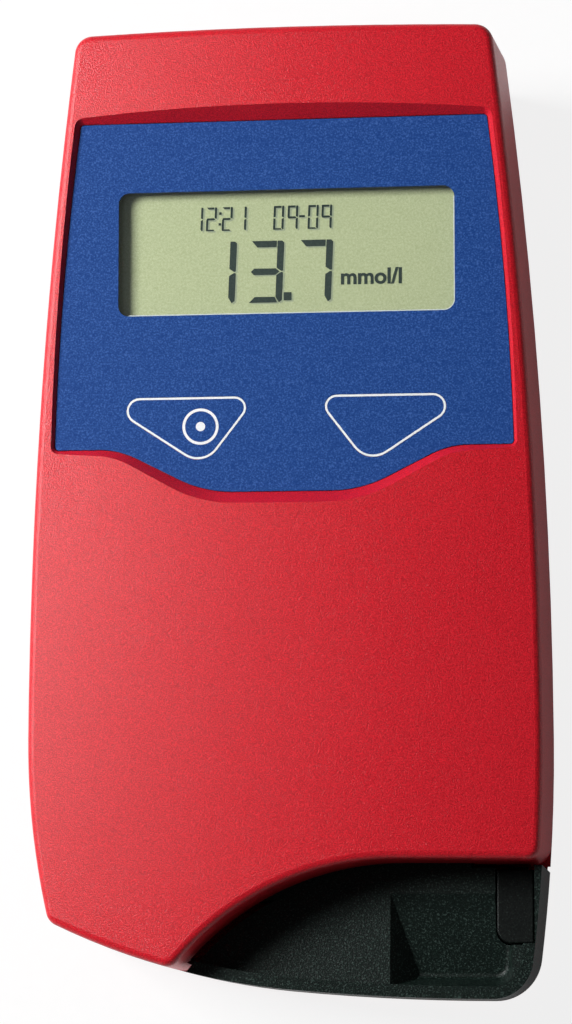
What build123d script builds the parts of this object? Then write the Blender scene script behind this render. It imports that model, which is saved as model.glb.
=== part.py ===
from build123d import *
import os
from math import cos, radians, sin, tan

os.makedirs("parts", exist_ok=True)

# Wedge
# The face frame has X across, Y toward the display end and Z out of the keypad film.
face_tilt = 6.0
face_height = 32.6
face_shift = -0.9
parting_depth = 17.0
draft = 4.5
lower_draft = 6.0
lower_depth = 25.0
crown_rise = 2.6
crown_radius = 363.0
overrun = 60.0
half = 0.5

face = Plane(origin=(0, face_shift, face_height)).rotated((face_tilt, 0, 0))
across = Plane(origin=face.origin, x_dir=face.x_dir, z_dir=-face.y_dir)

# Display glass and its holder, which the housing is wide enough to take
glass_width = 58.6
holder_wall = 1.5
glass_margin = 5.9

# Outline at the parting plane
top_half_width = glass_width * half + glass_margin
top_y = 78.35
top_bulge_y = 78.75
side_bow = 5.5
side_bow_x = top_half_width + side_bow
side_bow_y = 20.0
waist_flare = 7.35
waist_half_width = top_half_width + waist_flare
waist_y = -38.0
left_heel_in = 3.75
left_heel_y = -68.1
left_heel = (left_heel_in - waist_half_width, left_heel_y)
right_heel_in = 3.15
right_heel_y = -80.1
right_heel = (waist_half_width - right_heel_in, right_heel_y)
toe_mid = (-17.1, -76.0)
toe_end = (0, -78.85)
top_corner = 4.3
heel_corner_left = 3.9
heel_corner_right = 7.5
edge_round = 1.3

# Arch over the arm, at the parting plane
arch_x = 18.5
arch_y = -58.6
arch_radius = 44.65
arch_corner_left = 3.7
arch_corner_right = 3.5

# Keypad recess
panel_top_in = 1.9
panel_top_half = top_half_width - panel_top_in
panel_top_y = 62.3
panel_side_bow = 2.45
panel_side_x = panel_top_half + panel_side_bow
panel_side_y = 38.0
panel_low_flare = 3.95
panel_low_half = panel_top_half + panel_low_flare
panel_low_y = 8.4
wave_out_x = 26.8
wave_in_x = 12.7
wave_y = 1.3
wave_out_round = 13.5
wave_in_round = 20.0
panel_corner = 0.7
panel_slope = 38.0
slope_height = 4.0
film = 0.7
film_gap = 0.12

# Shell
wall = 2.2
ceiling = 2.7
ceiling_bite = 1.0
floor_low = 1.0
floor_high = 3.5
sole_round = 1.4
tongue_out = 1.2
tongue_in = 2.1
tongue_rise = 1.5
tongue_gap = 0.15

# Window and keys, all set off from the centre line by the print shift
print_shift = 0.5
window_y = 40.5
window_width = 54.8
window_height = 20.4
window_corner = 1.8
glass_light_gap = 1.2
key_inner_x = 4.4
key_outer_x = 31.0
key_tip_x = 13.3
key_top_y = 16.9
key_tip_y = 5.3
key_inner_round = 1.9
key_outer_round = 2.16
key_tip_round = 4.0
key_gap = 0.14
key_well = 0.65
plunger_x = 13.8
plunger_y = 12.05
plunger_radius = 3.0
plunger_gap = 0.35
dome_radius = 3.2
dome_height = 0.7
dome_room = 0.45

# Display stack, depths below the film's face
glass_depth = 2.2
glass_thick = 2.2
glass_height = 25.0
holder_gap = 0.15
holder_step = 1.2
strip_width = 2.2
strip_length = 50.0
board_depth = 9.9
board_thick = 1.6
board_half = 32.5
board_low_y = 6.5
board_high_y = 65.0
board_corner = 2.0

# Board screws
board_hole_low = (29.5, 17.5)
board_hole_high = (27.0, 60.5)
boss_radius = 2.6
thread_radius = 0.8
shank_radius = 1.0
head_radius = 1.9
head_thick = 1.2
shank_length = 6.0
slot_width = 0.5
slot_deep = 0.5

# Arm
pivot_x = -23.5
pivot_y = -62.5
arm_low = 4.0
arm_deck = 17.0
deck_gap = 0.9
arm_back_y = -58.3
arm_back_radius = 43.6
lip_depth = 4.5
lip_width = 1.6
hub_radius = 6.5
hub_gap = 0.7
tray_radius = 53.0
tray_low = 11.0
tray_angle = 60.0
sweep_gap = 0.6
tray_side = 1.0
sweep_side = 4.0
swing = 50.0
recess_left_x = -14.6

# Cuvette pocket in the tray
pocket_x = 8.5
pocket_y = -44.9
pocket_width = 20.0
pocket_length = 25.0
pocket_floor = 12.6
pocket_corner = 1.5
beam_radius = 3.0

# Finger scoop
scoop_left = 16.4
scoop_right = 35.9
scoop_back_y = -62.4
scoop_front_y = -77.1
scoop_drop = 4.2
scoop_left_run = 4.7
scoop_right_run = 0.7
scoop_front_run = 1.6
scoop_round = 0.9
scoop_corner = 2.4

# Release catch
catch_width = 6.4
catch_in = 2.95
catch_right = waist_half_width - catch_in
catch_left = catch_right - catch_width
catch_front_y = -70.5
catch_corner = 2.6
catch_pit = 6.4
catch_low = 8.0
catch_top = 17.05
catch_edge = 0.3
catch_gap = 0.25
nose_width = 3.2
nose_in = 1.4
nose_right = catch_right - nose_in
nose_left = nose_right - nose_width
nose_reach = 4.5
nose_high = 9.2
catch_spring_y = -64.5
catch_spring_at = ((catch_left + catch_right) * half, catch_spring_y)
spring_sides = 6
spring_bore = 2.1
spring_bore_top = 13.5
spring_coil = 1.45
spring_wire = 0.25
spring_turns = 4

# Pivot pin
pin_radius = 2.0
pin_gap = 0.05
pin_low = 1.9
pin_high = 24.0
pin_boss = 4.2
pin_boss_low = 18.2
pin_low_cap = 0.2

# Battery bay
bay_half = 30.0
bay_front_y = 10.1
bay_back_y = 67.1
bay_wall = 1.5
bay_roof = 19.2
cell_radius = 7.1
cell_length = 49.3
nub_radius = 2.7
nub_length = 1.0
cell_pitch = 14.9
cell_count = 4
cell_z = 11.5
cell_y = 13.7
contact_thick = 0.4
contact_width = 9.0
contact_height = 9.0
bay_spring_radius = 3.0
bay_spring_wire = 0.35
bay_spring_turns = 2

# Battery door
door_half = 31.0
door_front_y = 8.9
door_back_y = 68.3
door_top = 2.7
door_gap = 0.2
door_corner = 1.5
rib_count = 5
rib_pitch = 2.4
rib_width = 1.1
rib_deep = 0.5
rib_length = 18.0
rib_y = 61.1

# Feet
foot_radius = 4.0
foot_seat = 0.8
foot_bevel = 0.5
foot_gap = 0.1
foot_front = (34.5, -45.9)
foot_back = (28.4, 72.8)

# Case screws
case_front_left = (-32.0, -36.9)
case_front_right = (34.0, -6.9)
case_back_x = 16.5
case_back_y = 72.3
case_boss = 3.3
case_front_meet = 12.0
case_back_meet = 20.0
case_head = 2.4
case_head_room = 2.6
case_head_thick = 1.6
case_shank_room = 1.4
case_thread = 1.05
case_bite = 6.0
case_seat = 3.2

# Light path
block_left = -2.0
block_right = 19.0
block_front_y = -52.9
block_back_y = -8.9
spine_front_y = -14.5
block_low = 5.0
block_lower_top = 10.4
block_upper_low = 17.9
block_top = 21.6
block_foot = 3.0
emitter_radius = 2.5
emitter_flange = 3.1
emitter_fit = 0.1
emitter_low = 4.4
emitter_dome = 7.0
flange_thick = 1.0
lens_radius = 4.0
lens_low = 19.1
lens_thick = 1.2
aperture = 2.0
diode_flange = 4.6
diode_low = 20.4
detector_thick = 1.2
detector_margin = 1.5
detector_front_y = -52.9
detector_back_y = -16.9
optics_screw_x = 8.0
optics_screw_y = 21.0
optics_screw_length = 4.5

# Small parts on the board, on its lower side
chip_size = (14.0, 14.0, 1.6)
chip_at = (-8.0, 40.0)
memory_size = (6.0, 5.0, 1.4)
memory_at = (12.0, 44.0)
crystal_size = (11.0, 4.4, 1.4)
crystal_at = (-10.0, 24.0)
buzzer_radius = 4.5
buzzer_height = 1.4
buzzer_port = 1.0
buzzer_at = (16.0, 30.0)
cap_radius = 2.0
cap_height = 1.5
cap_count = 4
cap_pitch = 6.0
cap_at = (-4.0, 57.0)

# Power socket in the back wall
socket_x = 0.0
socket_width = 9.0
socket_height = 10.5
socket_depth = 9.2
socket_face_y = 78.1
socket_z = 13.0
socket_bore = 3.0
socket_pin = 1.0
socket_room = 0.2
socket_bore_deep = 7.4

# Arm switch
switch_size = (6.0, 6.0, 3.2)
switch_at = (-5.5, -7.4)

# Worked out from the sizes above
draft_spread = parting_depth * tan(radians(draft))
inner_step = wall + draft_spread
board_under = board_depth + board_thick
case_spots = (
    case_front_left,
    case_front_right,
    (case_back_x, case_back_y),
    (-case_back_x, case_back_y),
)


def mirrored(point):
    """The same point on the other side of the centre line."""
    return (-point[0], point[1])


def wedge(left_margin, right_margin, turn):
    """Corners of the plan wedge from the tray's left edge down to its right edge, turned out."""
    lead = radians(tray_angle)
    trail = radians(turn)
    left = (pivot_x - left_margin * sin(lead), pivot_y + left_margin * cos(lead))
    right = (pivot_x - right_margin * sin(trail), pivot_y - right_margin * cos(trail))
    return [
        right,
        (pivot_x - right_margin, pivot_y),
        left,
        (left[0] + overrun * cos(lead), left[1] + overrun * sin(lead)),
        (pivot_x + overrun, pivot_y + overrun),
        (pivot_x + overrun + right_margin, right[1] - overrun * sin(trail)),
        (right[0] + overrun * cos(trail), right[1] - overrun * sin(trail)),
    ]


def ceiling_z(y):
    """Height just above the inner ceiling at a place along the housing."""
    return face_height + (y - face_shift) * tan(radians(face_tilt)) - ceiling + ceiling_bite


def inset(outline, amount):
    """The outline moved inward by amount, each curve drawn again as a plain arc."""
    with BuildSketch() as moved:
        add(outline)
        offset(amount=-amount)
    with BuildSketch() as redrawn:
        with BuildLine():
            for curve in moved.edges():
                if curve.geom_type == GeomType.LINE:
                    Line(curve @ 0, curve @ 1)
                else:
                    ThreePointArc(curve @ 0, curve @ half, curve @ 1)
        make_face()
    return redrawn.sketch


def coil(place, pitch, turns, radius, wire):
    """A spring wound up a plane's Z in half turns; wire is half its thickness."""
    with BuildPart() as wound:
        with BuildLine(place) as path:
            for step in range(turns + turns):
                low = step * pitch * half
                lean = radius if step % 2 else -radius
                ThreePointArc(
                    (-lean, 0, low), (0, -lean, low + pitch * half * half), (lean, 0, low + pitch * half)
                )
        with BuildSketch(Plane(origin=path.line @ 0, z_dir=path.line % 0)):
            RegularPolygon(wire, spring_sides)
        sweep(path=path.line)
    return wound.part


def chip(size, at):
    """A flat package under the main board, in the face frame."""
    with BuildPart() as package:
        with BuildSketch(face.offset(-board_depth - board_thick)):
            with Locations(at):
                Rectangle(size[0], size[1])
        extrude(amount=-size[2])
    return package.part


# Outline of the whole housing, arm included
with BuildSketch() as full_outline:
    with BuildLine():
        top_edge = ThreePointArc((-top_half_width, top_y), (0, top_bulge_y), (top_half_width, top_y))
        right_side = ThreePointArc(top_edge @ 1, (side_bow_x, side_bow_y), (waist_half_width, waist_y))
        TangentArc(right_side @ 1, right_heel, tangent=right_side % 1)
        left_side = ThreePointArc(top_edge @ 0, (-side_bow_x, side_bow_y), (-waist_half_width, waist_y))
        TangentArc(left_side @ 1, left_heel, tangent=left_side % 1)
        toe = ThreePointArc(left_heel, toe_mid, toe_end)
        TangentArc(toe @ 1, right_heel, tangent=toe % 1)
    make_face()
    fillet(full_outline.vertices().group_by(Axis.Y)[-1], top_corner)
    fillet(full_outline.vertices().sort_by_distance(left_heel)[0], heel_corner_left)
    fillet(full_outline.vertices().sort_by_distance(right_heel)[0], heel_corner_right)

# Outline of the top cover, cut back along the arch
with BuildSketch() as cover_outline:
    add(full_outline.sketch)
    with Locations((arch_x, arch_y - arch_radius)):
        Circle(arch_radius, mode=Mode.SUBTRACT)
        Rectangle(overrun, arch_radius, align=(Align.MIN, Align.MIN), mode=Mode.SUBTRACT)
    fillet(cover_outline.vertices().sort_by_distance(toe_mid)[0], arch_corner_left)
    fillet(cover_outline.vertices().sort_by_distance((waist_half_width, arch_y))[0], arch_corner_right)

# Outline of the keypad recess
with BuildSketch() as panel_outline:
    with BuildLine():
        panel_left = ThreePointArc(
            (-panel_low_half, panel_low_y), (-panel_side_x, panel_side_y), (-panel_top_half, panel_top_y)
        )
        panel_right = ThreePointArc(
            (panel_top_half, panel_top_y), (panel_side_x, panel_side_y), (panel_low_half, panel_low_y)
        )
        Line(panel_left @ 1, panel_right @ 0)
        Polyline(
            panel_right @ 1,
            (wave_out_x, panel_low_y),
            (wave_in_x, wave_y),
            (-wave_in_x, wave_y),
            (-wave_out_x, panel_low_y),
            panel_left @ 0,
        )
    make_face()
    for side in (-wave_out_x, wave_out_x):
        bend = panel_outline.vertices().sort_by_distance((side, panel_low_y))[0]
        fillet(bend, wave_out_round)
    for side in (-wave_in_x, wave_in_x):
        bend = panel_outline.vertices().sort_by_distance((side, wave_y))[0]
        fillet(bend, wave_in_round)
    for side in (-1, 1):
        top_bend = panel_outline.vertices().sort_by_distance((side * panel_top_half, panel_top_y))[0]
        fillet(top_bend, panel_corner)
        low_bend = panel_outline.vertices().sort_by_distance((side * panel_low_half, panel_low_y))[0]
        fillet(low_bend, panel_corner)

# Outline of the right key, measured from the print's own centre line
with BuildSketch() as key_outline:
    with BuildLine():
        Polyline(
            (key_inner_x, key_top_y), (key_outer_x, key_top_y), (key_tip_x, key_tip_y), close=True
        )
    make_face()
    fillet(key_outline.vertices().sort_by_distance((key_inner_x, key_top_y))[0], key_inner_round)
    fillet(key_outline.vertices().sort_by_distance((key_outer_x, key_top_y))[0], key_outer_round)
    fillet(key_outline.vertices().sort_by_distance((key_tip_x, key_tip_y))[0], key_tip_round)

with BuildSketch() as keys_outline:
    with Locations((print_shift, 0)):
        add(key_outline.sketch)
        add(key_outline.sketch.mirror(Plane.YZ))

# Room the arm sweeps through, shared by both shells
with BuildPart() as swept:
    with BuildSketch(Plane.XY.offset(floor_high)):
        with Locations((pivot_x, pivot_y)):
            Circle(tray_radius + sweep_gap)
        with BuildLine():
            Polyline(wedge(sweep_side, tray_side + sweep_gap, swing), close=True)
        make_face(mode=Mode.INTERSECT)
        with Locations((pivot_x, pivot_y)):
            Circle(hub_radius + hub_gap)
    extrude(amount=arm_deck + deck_gap - floor_high)

# Room for the arm outside the arch
with BuildPart() as bay:
    with BuildSketch(face.offset(-overrun)):
        with Locations((arch_x, arch_y - arch_radius)):
            Circle(arch_radius)
            Rectangle(overrun, arch_radius, align=(Align.MIN, Align.MIN))
    extrude(amount=overrun + overrun)
    split(bisect_by=Plane.XY.offset(floor_high), keep=Keep.TOP)

# Lower body as a solid block, used to bound the bottom cover and the arm
with BuildPart() as lower_block:
    with BuildSketch(face.offset(-parting_depth)):
        add(full_outline.sketch)
    extrude(amount=-lower_depth, taper=lower_draft)
    split(bisect_by=Plane.XY.offset(floor_low), keep=Keep.TOP)

with BuildPart() as floor_plate:
    add(lower_block.part)
    split(bisect_by=Plane.XY.offset(floor_high), keep=Keep.BOTTOM)

with BuildPart() as top_cover:
    with BuildSketch(face.offset(-parting_depth)):
        make_face(cover_outline.edges())
    extrude(amount=parting_depth + slope_height, taper=draft)
    with BuildSketch(across):
        with Locations((0, crown_rise - crown_radius)):
            Circle(crown_radius)
    extrude(amount=overrun + overrun, both=True, mode=Mode.INTERSECT)
    crown = top_cover.faces().sort_by_distance(face.origin + face.z_dir * overrun)[0]
    fillet(crown.edges(), edge_round)

    # Keypad recess with sloping sides and a seat for the film
    with BuildSketch(face):
        add(panel_outline.sketch)
    extrude(amount=slope_height, taper=-panel_slope, mode=Mode.SUBTRACT)
    with BuildSketch(face):
        add(panel_outline.sketch)
    extrude(amount=-film, mode=Mode.SUBTRACT)

    # Hollow inside, open at the parting plane
    with BuildSketch(face.offset(-ceiling)):
        add(inset(cover_outline.sketch, inner_step))
    extrude(amount=-parting_depth, mode=Mode.SUBTRACT)
    with BuildSketch(face.offset(-parting_depth)):
        add(inset(cover_outline.sketch, tongue_out))
    extrude(amount=tongue_rise + tongue_gap, mode=Mode.SUBTRACT)

    # Bosses for the board, the case screws and the arm's pin
    with BuildSketch(face.offset(-board_depth)):
        with Locations(
            board_hole_low, mirrored(board_hole_low), board_hole_high, mirrored(board_hole_high)
        ):
            Circle(boss_radius)
            Circle(thread_radius, mode=Mode.SUBTRACT)
    extrude(amount=board_depth - ceiling)
    for spot in case_spots:
        meet = case_back_meet if spot[1] > 0 else case_front_meet
        with BuildSketch(Plane.XY.offset(meet)):
            with Locations(spot):
                Circle(case_boss)
        extrude(amount=ceiling_z(spot[1]) - meet)
        with BuildSketch(Plane.XY.offset(meet)):
            with Locations(spot):
                Circle(case_thread)
        extrude(amount=case_bite, mode=Mode.SUBTRACT)
    add(swept.part, mode=Mode.SUBTRACT)
    with BuildSketch(Plane.XY.offset(pin_boss_low)):
        with Locations((pivot_x, pivot_y)):
            Circle(pin_boss)
    extrude(amount=pin_high - pin_boss_low)
    with BuildSketch(Plane.XY.offset(pin_boss_low)):
        with Locations((pivot_x, pivot_y)):
            Circle(pin_radius)
    extrude(amount=pin_high - pin_low_cap - pin_boss_low, mode=Mode.SUBTRACT)

    # Window opening, wells under the key patches and holes for their plungers
    with BuildSketch(face):
        with Locations((print_shift, window_y)):
            Rectangle(glass_width + glass_light_gap, glass_height + glass_light_gap)
    extrude(amount=-parting_depth, mode=Mode.SUBTRACT)
    with BuildSketch(face):
        add(keys_outline.sketch)
        offset(amount=key_gap)
    extrude(amount=-film - key_well, mode=Mode.SUBTRACT)
    with BuildSketch(face):
        with Locations((print_shift - plunger_x, plunger_y), (print_shift + plunger_x, plunger_y)):
            Circle(plunger_radius + plunger_gap)
    extrude(amount=-parting_depth, mode=Mode.SUBTRACT)
top_cover.part.label = "top_cover"

with BuildPart() as bottom_cover:
    add(lower_block.part)
    with BuildSketch(face.offset(-parting_depth)):
        add(inset(full_outline.sketch, wall))
    extrude(amount=-lower_depth, taper=lower_draft, mode=Mode.SUBTRACT)
    with BuildSketch(face.offset(-parting_depth)):
        add(inset(full_outline.sketch, tongue_out + tongue_gap))
        add(inset(full_outline.sketch, tongue_in), mode=Mode.SUBTRACT)
        add(inset(cover_outline.sketch, tongue_out + tongue_gap), mode=Mode.INTERSECT)
    extrude(amount=tongue_rise)

    # The arm's room, then the floor under it all
    add(swept.part, mode=Mode.SUBTRACT)
    add(bay.part, mode=Mode.SUBTRACT)
    add(floor_plate.part)
    fillet(bottom_cover.faces().sort_by(Axis.Z)[0].edges(), sole_round)

    # Battery bay, open below, with the door's seat
    with BuildSketch(Plane.XY.offset(floor_high)):
        with Locations((0, bay_front_y - bay_wall)):
            Rectangle(
                bay_half + bay_half + bay_wall + bay_wall,
                bay_back_y - bay_front_y + bay_wall + bay_wall,
                align=(Align.CENTER, Align.MIN),
            )
    extrude(amount=bay_roof + bay_wall - floor_high)
    with BuildSketch(Plane.XY):
        with Locations((0, bay_front_y)):
            Rectangle(bay_half + bay_half, bay_back_y - bay_front_y, align=(Align.CENTER, Align.MIN))
    extrude(amount=bay_roof, mode=Mode.SUBTRACT)
    with BuildSketch(Plane.XY):
        with Locations((0, (door_front_y + door_back_y) * half)):
            RectangleRounded(
                door_half + door_half + door_gap + door_gap,
                door_back_y - door_front_y + door_gap + door_gap,
                door_corner + door_gap,
            )
    extrude(amount=door_top, mode=Mode.SUBTRACT)

    # Bosses for the case screws and the arm's pin, rests under the light path
    for spot in case_spots:
        meet = case_back_meet if spot[1] > 0 else case_front_meet
        with BuildSketch(Plane.XY.offset(floor_low)):
            with Locations(spot):
                Circle(case_boss)
        extrude(amount=meet - floor_low)
    with BuildSketch(Plane.XY):
        with Locations(case_spots):
            Circle(case_shank_room)
    extrude(amount=case_back_meet, mode=Mode.SUBTRACT)
    with BuildSketch(Plane.XY):
        with Locations(case_spots):
            Circle(case_head_room)
    extrude(amount=case_seat, mode=Mode.SUBTRACT)
    with BuildSketch(Plane.XY.offset(floor_high)):
        with Locations(
            (block_left + block_foot, block_front_y + block_foot),
            (block_right - block_foot, block_front_y + block_foot),
            (block_left + block_foot, block_back_y - block_foot),
            (block_right - block_foot, block_back_y - block_foot),
        ):
            Rectangle(block_foot, block_foot)
    extrude(amount=block_low - floor_high)
    with BuildSketch(Plane.XY.offset(pin_low)):
        with Locations((pivot_x, pivot_y)):
            Circle(pin_radius)
    extrude(amount=arm_low - pin_low, mode=Mode.SUBTRACT)

    # Seats for the feet and the hole for the power socket
    with BuildSketch(Plane.XY):
        with Locations(foot_front, mirrored(foot_front), foot_back, mirrored(foot_back)):
            Circle(foot_radius + foot_gap)
    extrude(amount=floor_low + foot_seat, mode=Mode.SUBTRACT)
    with BuildSketch(Plane.XZ.offset(-case_back_y)):
        with Locations((socket_x, socket_z)):
            Rectangle(socket_width, socket_height)
    extrude(amount=-socket_depth, mode=Mode.SUBTRACT)

    # The arm's room can cut a crumb loose from the wall, which is dropped
    add(bottom_cover.solids().sort_by(SortBy.VOLUME)[-1], mode=Mode.REPLACE)
bottom_cover.part.label = "bottom_cover"

# Film, window, keys and what they work on
with BuildPart() as keypad_overlay:
    with BuildSketch(face):
        add(inset(panel_outline.sketch, film_gap))
        with Locations((print_shift, window_y)):
            RectangleRounded(window_width, window_height, window_corner, mode=Mode.SUBTRACT)
    extrude(amount=-film)
    with BuildSketch(face):
        add(keys_outline.sketch)
    extrude(amount=-film, mode=Mode.SUBTRACT)
keypad_overlay.part.label = "keypad_overlay"

with BuildPart() as display_window:
    with BuildSketch(face):
        with Locations((print_shift, window_y)):
            RectangleRounded(window_width, window_height, window_corner)
    extrude(amount=-film)
display_window.part.label = "display_window"


def key_patch(side):
    """One key patch with its plunger; side is 1 for the right key and -1 for the left."""
    with BuildPart() as patch:
        with BuildSketch(face):
            with Locations((side * print_shift, 0)):
                add(key_outline.sketch)
            offset(amount=-key_gap)
        extrude(amount=-film)
        with BuildSketch(face.offset(-film)):
            with Locations((plunger_x + side * print_shift, plunger_y)):
                Circle(plunger_radius)
        extrude(amount=film - board_depth + dome_height + dome_room)
    return patch.part if side > 0 else patch.part.mirror(Plane.YZ)


with BuildPart() as right_key:
    add(key_patch(1))
right_key.part.label = "right_key"

with BuildPart() as left_key:
    add(key_patch(-1))
left_key.part.label = "left_key"

with BuildPart() as key_domes:
    with BuildSketch(face.offset(-board_depth)):
        with Locations((print_shift - plunger_x, plunger_y), (print_shift + plunger_x, plunger_y)):
            Circle(dome_radius)
    extrude(amount=dome_height)
key_domes.part.label = "key_domes"

# Display glass with the frame and contact strips that carry it
with BuildPart() as lcd_glass:
    with BuildSketch(face.offset(-glass_depth)):
        with Locations((print_shift, window_y)):
            Rectangle(glass_width, glass_height)
    extrude(amount=-glass_thick)
lcd_glass.part.label = "lcd_glass"

with BuildPart() as lcd_holder:
    with BuildSketch(face.offset(-board_depth)):
        with Locations((print_shift, window_y)):
            Rectangle(glass_width + holder_wall + holder_wall, glass_height + holder_wall + holder_wall)
            Rectangle(
                glass_width - strip_width - strip_width,
                glass_height - strip_width - strip_width - holder_step - holder_step,
                mode=Mode.SUBTRACT,
            )
    extrude(amount=board_depth - glass_depth - holder_step)
    with BuildSketch(face.offset(-glass_depth)):
        with Locations((print_shift, window_y)):
            Rectangle(glass_width + holder_gap + holder_gap, glass_height + holder_gap + holder_gap)
    extrude(amount=-glass_thick, mode=Mode.SUBTRACT)
    with BuildSketch(face.offset(-glass_depth)):
        with Locations((print_shift, window_y)):
            with GridLocations(0, glass_height - strip_width - holder_step, 1, 2):
                Rectangle(strip_length + holder_gap, strip_width + holder_gap)
    extrude(amount=-board_depth, mode=Mode.SUBTRACT)
lcd_holder.part.label = "lcd_holder"

with BuildPart() as contact_strips:
    with BuildSketch(face.offset(-board_depth)):
        with Locations((print_shift, window_y)):
            with GridLocations(0, glass_height - strip_width - holder_step, 1, 2):
                Rectangle(strip_length, strip_width)
    extrude(amount=board_depth - glass_depth - glass_thick)
contact_strips.part.label = "contact_strips"

with BuildPart() as main_board:
    with BuildSketch(face.offset(-board_depth)):
        with Locations((0, (board_low_y + board_high_y) * half)):
            RectangleRounded(board_half + board_half, board_high_y - board_low_y, board_corner)
        with Locations(
            board_hole_low, mirrored(board_hole_low), board_hole_high, mirrored(board_hole_high)
        ):
            Circle(shank_radius + holder_gap, mode=Mode.SUBTRACT)
    extrude(amount=-board_thick)
main_board.part.label = "main_board"

with BuildPart() as processor_chip:
    add(chip(chip_size, chip_at))
processor_chip.part.label = "processor_chip"

with BuildPart() as memory_chip:
    add(chip(memory_size, memory_at))
memory_chip.part.label = "memory_chip"

with BuildPart() as crystal:
    add(chip(crystal_size, crystal_at))
crystal.part.label = "crystal"

with BuildPart() as buzzer:
    with BuildSketch(face.offset(-board_under)):
        with Locations(buzzer_at):
            Circle(buzzer_radius)
    extrude(amount=-buzzer_height)
    with BuildSketch(face.offset(-board_under - buzzer_height)):
        with Locations(buzzer_at):
            Circle(buzzer_port)
    extrude(amount=buzzer_height * half, mode=Mode.SUBTRACT)
buzzer.part.label = "buzzer"

with BuildPart() as capacitors:
    with BuildSketch(face.offset(-board_under)):
        with Locations(cap_at):
            with GridLocations(cap_pitch, 0, cap_count, 1):
                Circle(cap_radius)
    extrude(amount=-cap_height)
capacitors.part.label = "capacitors"

with BuildPart() as board_screws:
    with BuildSketch(face.offset(-board_under)):
        with Locations(
            board_hole_low, mirrored(board_hole_low), board_hole_high, mirrored(board_hole_high)
        ):
            Circle(head_radius)
            Rectangle(boss_radius + boss_radius, slot_width, mode=Mode.SUBTRACT)
    extrude(amount=-head_thick)
    with BuildSketch(face.offset(-board_under - head_thick + slot_deep)):
        with Locations(
            board_hole_low, mirrored(board_hole_low), board_hole_high, mirrored(board_hole_high)
        ):
            Circle(thread_radius)
    extrude(amount=shank_length)
board_screws.part.label = "board_screws"

# Finger scoop as a solid: its floor starts at the deck and falls toward the front wall
with BuildPart() as scoop:
    with BuildSketch(Plane.XZ.offset(-scoop_back_y)):
        with BuildLine():
            Polyline(
                (scoop_left, arm_deck),
                (scoop_right, arm_deck),
                (scoop_right - scoop_right_run, arm_deck - scoop_drop),
                (scoop_left + scoop_left_run, arm_deck - scoop_drop),
                close=True,
            )
        make_face()
    extrude(amount=scoop_back_y - scoop_front_y)
    with BuildSketch(Plane.YZ):
        with BuildLine():
            Polyline(
                (scoop_back_y, arm_deck),
                (scoop_front_y, arm_deck),
                (scoop_front_y + scoop_front_run, arm_deck - scoop_drop),
                close=True,
            )
        make_face()
    extrude(amount=overrun, mode=Mode.INTERSECT)
    right_corner = scoop.edges().filter_by(Axis.Y, reverse=True).sort_by_distance(
        (scoop_right, scoop_front_y, arm_deck - scoop_drop * half)
    )[0]
    fillet(right_corner, scoop_corner)
    front_foot = scoop.edges().filter_by(Axis.X).group_by(Axis.Z)[0]
    fillet(front_foot, scoop_round)

# Swinging arm
with BuildPart() as cuvette_arm:
    with BuildSketch(face.offset(-parting_depth)):
        add(full_outline.sketch)
    with BuildSketch(face.offset(-lip_depth)):
        add(inset(full_outline.sketch, (parting_depth - lip_depth) * tan(radians(draft))))
    loft(ruled=True)
    add(lower_block.part)
    split(bisect_by=Plane.XY.offset(arm_low), keep=Keep.TOP)
    with BuildSketch(Plane.XY):
        with Locations((arch_x, arm_back_y - arm_back_radius)):
            Circle(arm_back_radius)
            Rectangle(overrun, arm_back_radius, align=(Align.MIN, Align.MIN))
        with Locations((pivot_x, pivot_y)):
            Circle(hub_radius)
    extrude(amount=overrun, mode=Mode.INTERSECT)

    # Hub and tray, both no higher than the deck
    with BuildSketch(Plane.XY.offset(arm_deck)):
        with Locations((pivot_x, pivot_y)):
            Circle(hub_radius + hub_gap)
        with Locations((arch_x, arm_back_y - arm_back_radius)):
            Circle(arm_back_radius, mode=Mode.SUBTRACT)
    extrude(amount=overrun, mode=Mode.SUBTRACT)
    with BuildSketch(Plane.XY.offset(tray_low)):
        with Locations((pivot_x, pivot_y)):
            Circle(tray_radius)
        with BuildLine():
            Polyline(wedge(tray_side, tray_side, 0), close=True)
        make_face(mode=Mode.INTERSECT)
    extrude(amount=arm_deck - tray_low)

    # Recess inside the lip, then the sloping finger scoop
    with BuildSketch(Plane.XY.offset(arm_deck)):
        add(inset(full_outline.sketch, lip_width + draft_spread))
        with Locations((recess_left_x, 0)):
            Rectangle(
                overrun, overrun + overrun + overrun, align=(Align.MAX, Align.CENTER), mode=Mode.SUBTRACT
            )
    extrude(amount=overrun, mode=Mode.SUBTRACT)
    add(scoop.part, mode=Mode.SUBTRACT)

    # Cuvette pocket with its light hole
    with BuildSketch(Plane.XY.offset(pocket_floor)):
        with Locations((pocket_x, pocket_y)):
            RectangleRounded(pocket_width, pocket_length, pocket_corner)
    extrude(amount=arm_deck - pocket_floor, mode=Mode.SUBTRACT)
    with BuildSketch(Plane.XY.offset(tray_low)):
        with Locations((pocket_x, pocket_y)):
            Circle(beam_radius)
    extrude(amount=pocket_floor - tray_low, mode=Mode.SUBTRACT)

    # Pit for the release catch and bore for the pin
    with BuildSketch(Plane.XY.offset(catch_pit)) as pit_outline:
        with Locations((catch_left, catch_front_y)):
            Rectangle(catch_right - catch_left, overrun, align=(Align.MIN, Align.MIN))
        fillet(pit_outline.vertices().sort_by_distance((catch_left, catch_front_y))[0], catch_corner)
    extrude(amount=overrun, mode=Mode.SUBTRACT)
    with BuildSketch(Plane.XY):
        with Locations((pivot_x, pivot_y)):
            Circle(pin_radius + pin_gap)
    extrude(amount=overrun, mode=Mode.SUBTRACT)
cuvette_arm.part.label = "cuvette_arm"

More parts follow.
